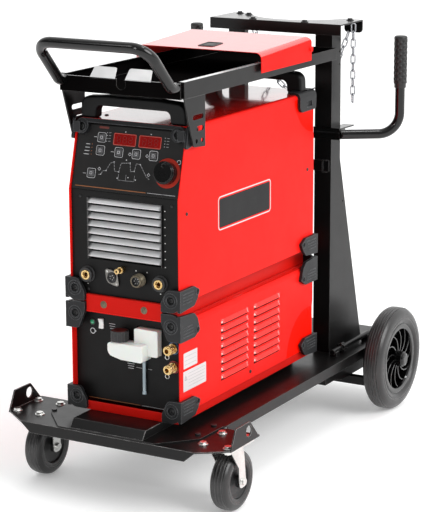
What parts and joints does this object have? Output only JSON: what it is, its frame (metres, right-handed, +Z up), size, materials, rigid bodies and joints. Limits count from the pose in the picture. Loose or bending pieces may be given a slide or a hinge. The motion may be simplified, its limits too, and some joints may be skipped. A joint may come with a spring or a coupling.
{
  "type": "tig welder on cart",
  "caption": "Inverter TIG power source stacked on a water cooler, carried by a black sheet-metal cart with a tool tray, hinged lid, push handles and a chained gas-bottle bay.",
  "frame": {"origin": "middle of the whole machine's footprint box, on the floor under the tyres", "axes": "+Z up; +Y from the control panel towards the gas-bottle bay; +X to the right of someone facing the panel"},
  "size_m": [0.531, 1.0015, 0.9135],
  "materials": {
    "red_paint": "glossy red powder coat",
    "black_paint": "satin black powder coat",
    "black_panel": "matt black",
    "silver_grille": "satin silver",
    "overlay": "black printed overlay",
    "grey_moulding": "fine-grained grey-black",
    "zinc": "bright zinc plate",
    "black_plastic": "black",
    "knob": "gloss black",
    "button": "black keys with pale outline",
    "brass": "turned",
    "tyre_rubber": "grey-black rubber",
    "grip_rubber": "cross-hatched black",
    "tank_plastic": "milky translucent",
    "rocker_white": "white",
    "bare_aluminium": "mill finish",
    "pump_iron": "as cast"
  },
  "bodies": {
    "machine": {"source_shell": "red_paint", "cooler_shell": "red_paint", "unit_bases": "red_paint", "front_plate": "black_paint", "platform": "black_paint", "plinth": "black_paint", "rear_columns": "black_paint", "top_plate": "black_paint", "tool_tray": "black_paint", "tray_handle": "black_paint", "tray_brackets": "black_paint", "side_handles": "black_paint", "axle_carrier": "black_paint", "deck_clamp": "black_paint", "source_front_panel": "black_panel", "cooler_front_panel": "black_panel", "source_rear_panel": "black_panel", "cooler_rear_panel": "black_panel", "source_grille": "silver_grille", "control_panel": "overlay", "top_mouldings": "grey_moulding", "arch_handles": "grey_moulding", "source_bumpers": "grey_moulding", "cooler_bumpers": "grey_moulding", "cart_bolts": "zinc", "bottle_chain": "zinc", "caster_plates": "zinc", "rear_axle": "zinc", "front_sockets": "black_plastic", "rear_inlets": "black_plastic", "socket_inserts": "brass", "gas_outlet": "brass", "coolant_couplings": "brass", "handle_grips": "grip_rubber", "reservoir": "tank_plastic", "level_tube": "tank_plastic", "power_module": "bare_aluminium", "radiator": "bare_aluminium", "coolant_pump": "pump_iron"},
    "caster_swivel_left": {"caster_fork_left": "zinc"},
    "caster_swivel_right": {"caster_fork_right": "zinc"},
    "caster_roller_left": {"caster_wheel_left": "tyre_rubber"},
    "caster_roller_right": {"caster_wheel_right": "tyre_rubber"},
    "rear_wheel_left": {"rear_tyre_left": "tyre_rubber", "rear_rim_left": "black_plastic"},
    "rear_wheel_right": {"rear_tyre_right": "tyre_rubber", "rear_rim_right": "black_plastic"},
    "lid": {"tray_lid": "red_paint"},
    "knob": {"control_knob": "knob"},
    "mains_rotary": {"mains_switch": "black_plastic"},
    "rocker": {"cooler_rocker": "rocker_white"},
    "tank_cap": {"reservoir_cap": "black_plastic"},
    "source_rotor": {"source_fan": "black_plastic"},
    "cooler_rotor": {"cooler_fan": "black_plastic"},
    "key_1": {"push_button_1": "button"},
    "key_2": {"push_button_2": "button"},
    "key_3": {"push_button_3": "button"},
    "key_4": {"push_button_4": "button"},
    "key_5": {"push_button_5": "button"},
    "key_6": {"push_button_6": "button"}
  },
  "joints": [
    {"name": "caster_left_swivel", "type": "hinge", "parent": "machine", "child": "caster_swivel_left", "pos_m": [-0.2153, -0.37665, 0.131], "axis": [0, 0, 1], "continuous": true},
    {"name": "caster_left_roll", "type": "hinge", "parent": "caster_swivel_left", "child": "caster_roller_left", "pos_m": [-0.2153, -0.35125, 0.06], "axis": [1, 0, 0], "continuous": true},
    {"name": "rear_wheel_left_roll", "type": "hinge", "parent": "machine", "child": "rear_wheel_left", "pos_m": [-0.2145, 0.38575, 0.115], "axis": [1, 0, 0], "continuous": true},
    {"name": "caster_right_swivel", "type": "hinge", "parent": "machine", "child": "caster_swivel_right", "pos_m": [0.2153, -0.37665, 0.131], "axis": [0, 0, 1], "continuous": true},
    {"name": "caster_right_roll", "type": "hinge", "parent": "caster_swivel_right", "child": "caster_roller_right", "pos_m": [0.2153, -0.35125, 0.06], "axis": [1, 0, 0], "continuous": true},
    {"name": "rear_wheel_right_roll", "type": "hinge", "parent": "machine", "child": "rear_wheel_right", "pos_m": [0.2145, 0.38575, 0.115], "axis": [1, 0, 0], "continuous": true},
    {"name": "lid_hinge", "type": "hinge", "parent": "machine", "child": "lid", "pos_m": [0, 0.10975, 0.837], "axis": [-1, 0, 0], "range_deg": [0, 100]},
    {"name": "key_1_press", "type": "slide", "parent": "machine", "child": "key_1", "axis": [0, 0.9686, -0.2487], "range_m": [0, 0.001], "stiffness_N_per_m": 600},
    {"name": "key_2_press", "type": "slide", "parent": "machine", "child": "key_2", "axis": [0, 0.9686, -0.2487], "range_m": [0, 0.001], "stiffness_N_per_m": 600},
    {"name": "key_3_press", "type": "slide", "parent": "machine", "child": "key_3", "axis": [0, 0.9686, -0.2487], "range_m": [0, 0.001], "stiffness_N_per_m": 600},
    {"name": "key_4_press", "type": "slide", "parent": "machine", "child": "key_4", "axis": [0, 0.9686, -0.2487], "range_m": [0, 0.001], "stiffness_N_per_m": 600},
    {"name": "key_5_press", "type": "slide", "parent": "machine", "child": "key_5", "axis": [0, 0.9686, -0.2487], "range_m": [0, 0.001], "stiffness_N_per_m": 600},
    {"name": "key_6_press", "type": "slide", "parent": "machine", "child": "key_6", "axis": [0, 0.9686, -0.2487], "range_m": [0, 0.001], "stiffness_N_per_m": 600},
    {"name": "knob_turn", "type": "hinge", "parent": "machine", "child": "knob", "pos_m": [0.0905, -0.37306, 0.65346], "axis": [0, -0.9686, 0.2487], "continuous": true},
    {"name": "mains_rotary_turn", "type": "hinge", "parent": "machine", "child": "mains_rotary", "pos_m": [0.07, 0.16375, 0.69], "axis": [0, 1, 0], "range_deg": [0, 90]},
    {"name": "rocker_tip", "type": "hinge", "parent": "machine", "child": "rocker", "pos_m": [-0.0632, -0.36965, 0.3406], "axis": [-1, 0, 0], "range_deg": [0, 12]},
    {"name": "tank_cap_turn", "type": "hinge", "parent": "machine", "child": "tank_cap", "pos_m": [-0.009, -0.39285, 0.328], "axis": [0, 0, 1], "range_deg": [0, 360]},
    {"name": "source_fan_spin", "type": "hinge", "parent": "machine", "child": "source_rotor", "pos_m": [0, 0.14075, 0.56], "axis": [0, 1, 0], "continuous": true},
    {"name": "cooler_fan_spin", "type": "hinge", "parent": "machine", "child": "cooler_rotor", "pos_m": [0, 0.12075, 0.27], "axis": [0, 1, 0], "continuous": true}
  ]
}
